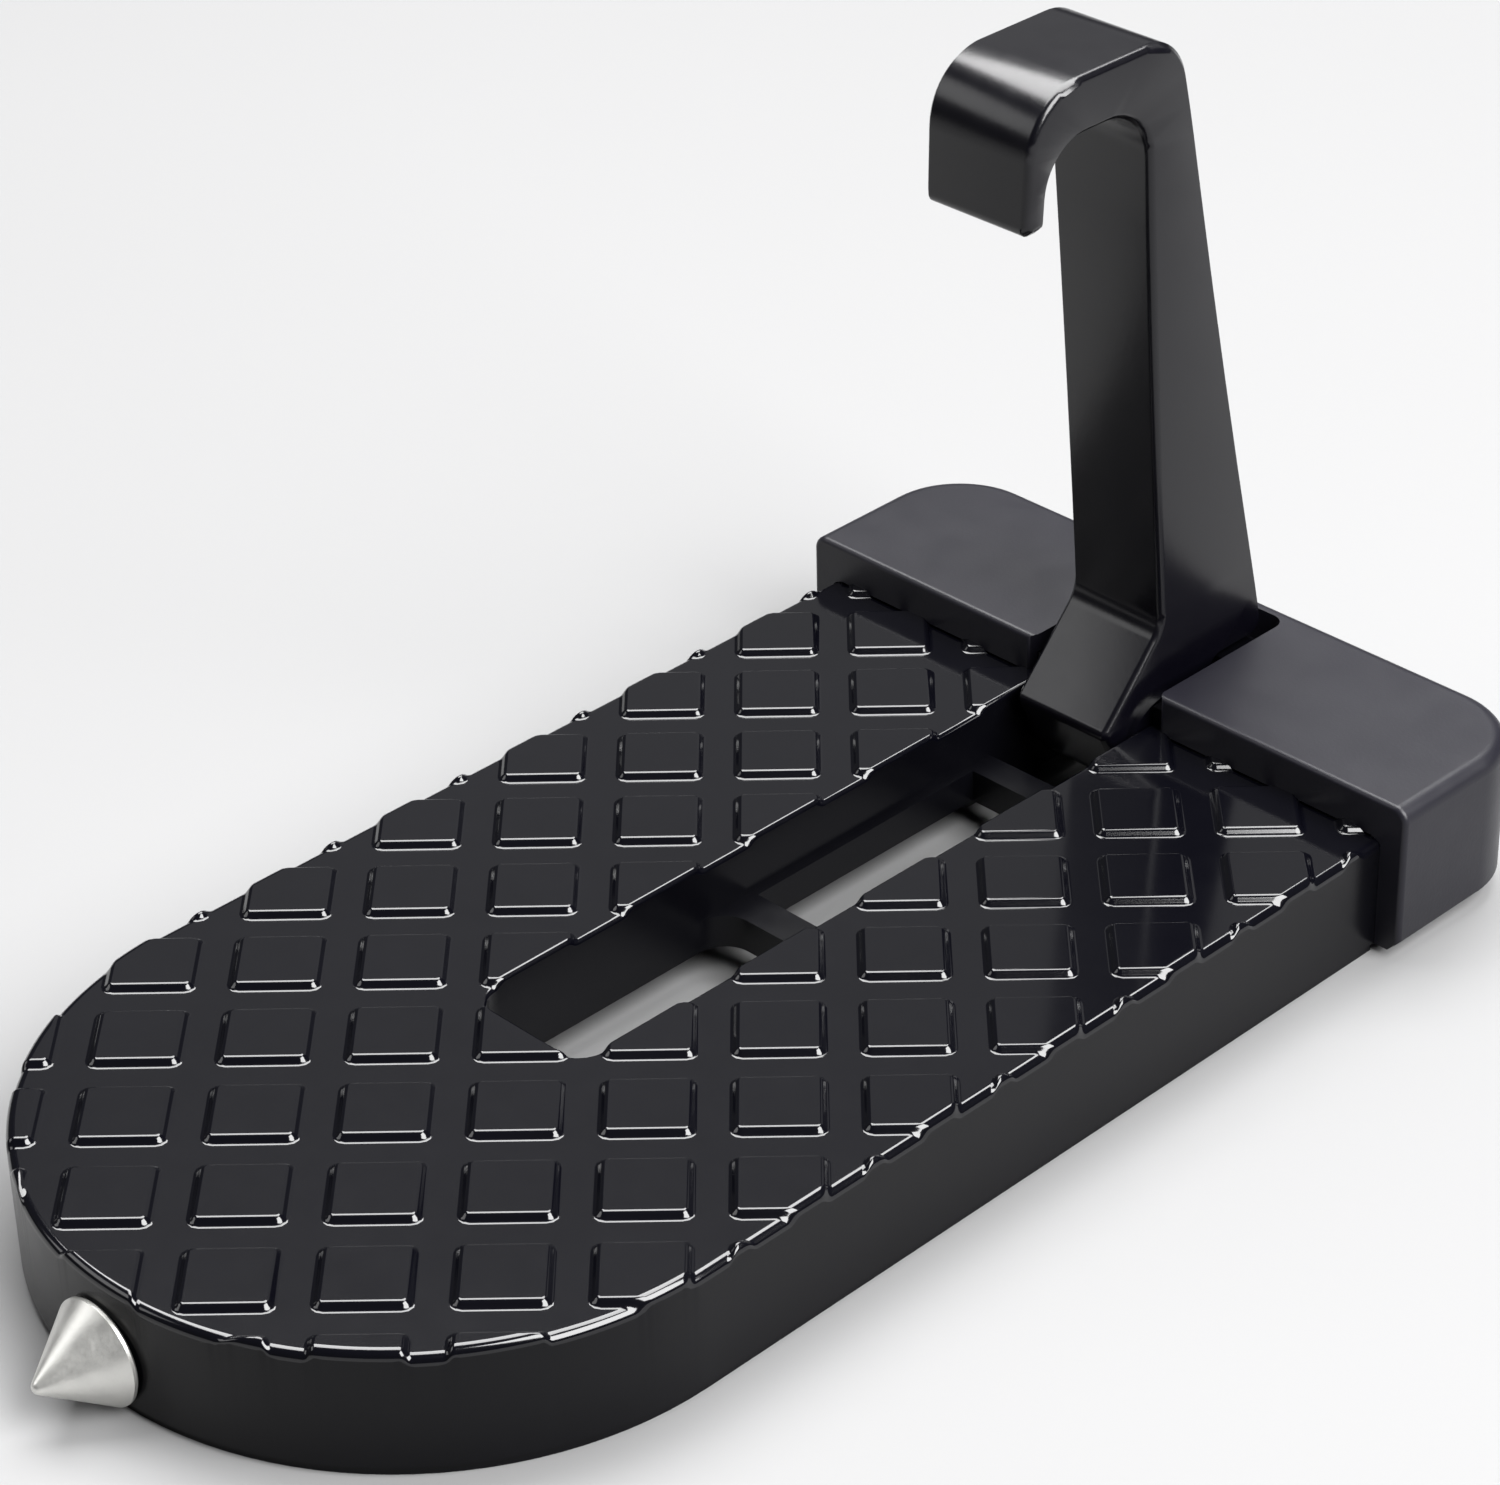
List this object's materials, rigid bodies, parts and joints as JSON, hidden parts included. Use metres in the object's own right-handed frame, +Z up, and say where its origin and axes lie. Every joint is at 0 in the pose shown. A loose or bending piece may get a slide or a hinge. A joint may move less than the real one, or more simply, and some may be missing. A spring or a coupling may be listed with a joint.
{
  "type": "car door step",
  "caption": "Folding foot step that hooks onto a car's door striker, with a rounded diamond-pad tread, rubber rear bumper and a glass-breaking point.",
  "frame": {"origin": "on the ground under the middle of the step's overall box, hook upright", "axes": "+X across the tread, +Y from the pointed nose to the car body, +Z up"},
  "size_m": [0.097, 0.192, 0.1067],
  "materials": {
    "tread_coat": "glossy black coat over cast aluminium",
    "bumper_rubber": "satin moulded rubber",
    "hook_coat": "satin black coat over cast aluminium",
    "pin_steel": "ground",
    "tip_nickel": "satin nickel"
  },
  "bodies": {
    "step_body": {"tread": "tread_coat", "rear_bumper": "bumper_rubber", "hinge_pin": "pin_steel", "hammer_tip": "tip_nickel"},
    "hook_body": {"hook": "hook_coat"}
  },
  "joints": [
    {"name": "hook_fold", "type": "hinge", "parent": "step_body", "child": "hook_body", "pos_m": [0, 0.0724, 0.0125], "axis": [1, 0, 0], "range_deg": [0, 90]}
  ]
}
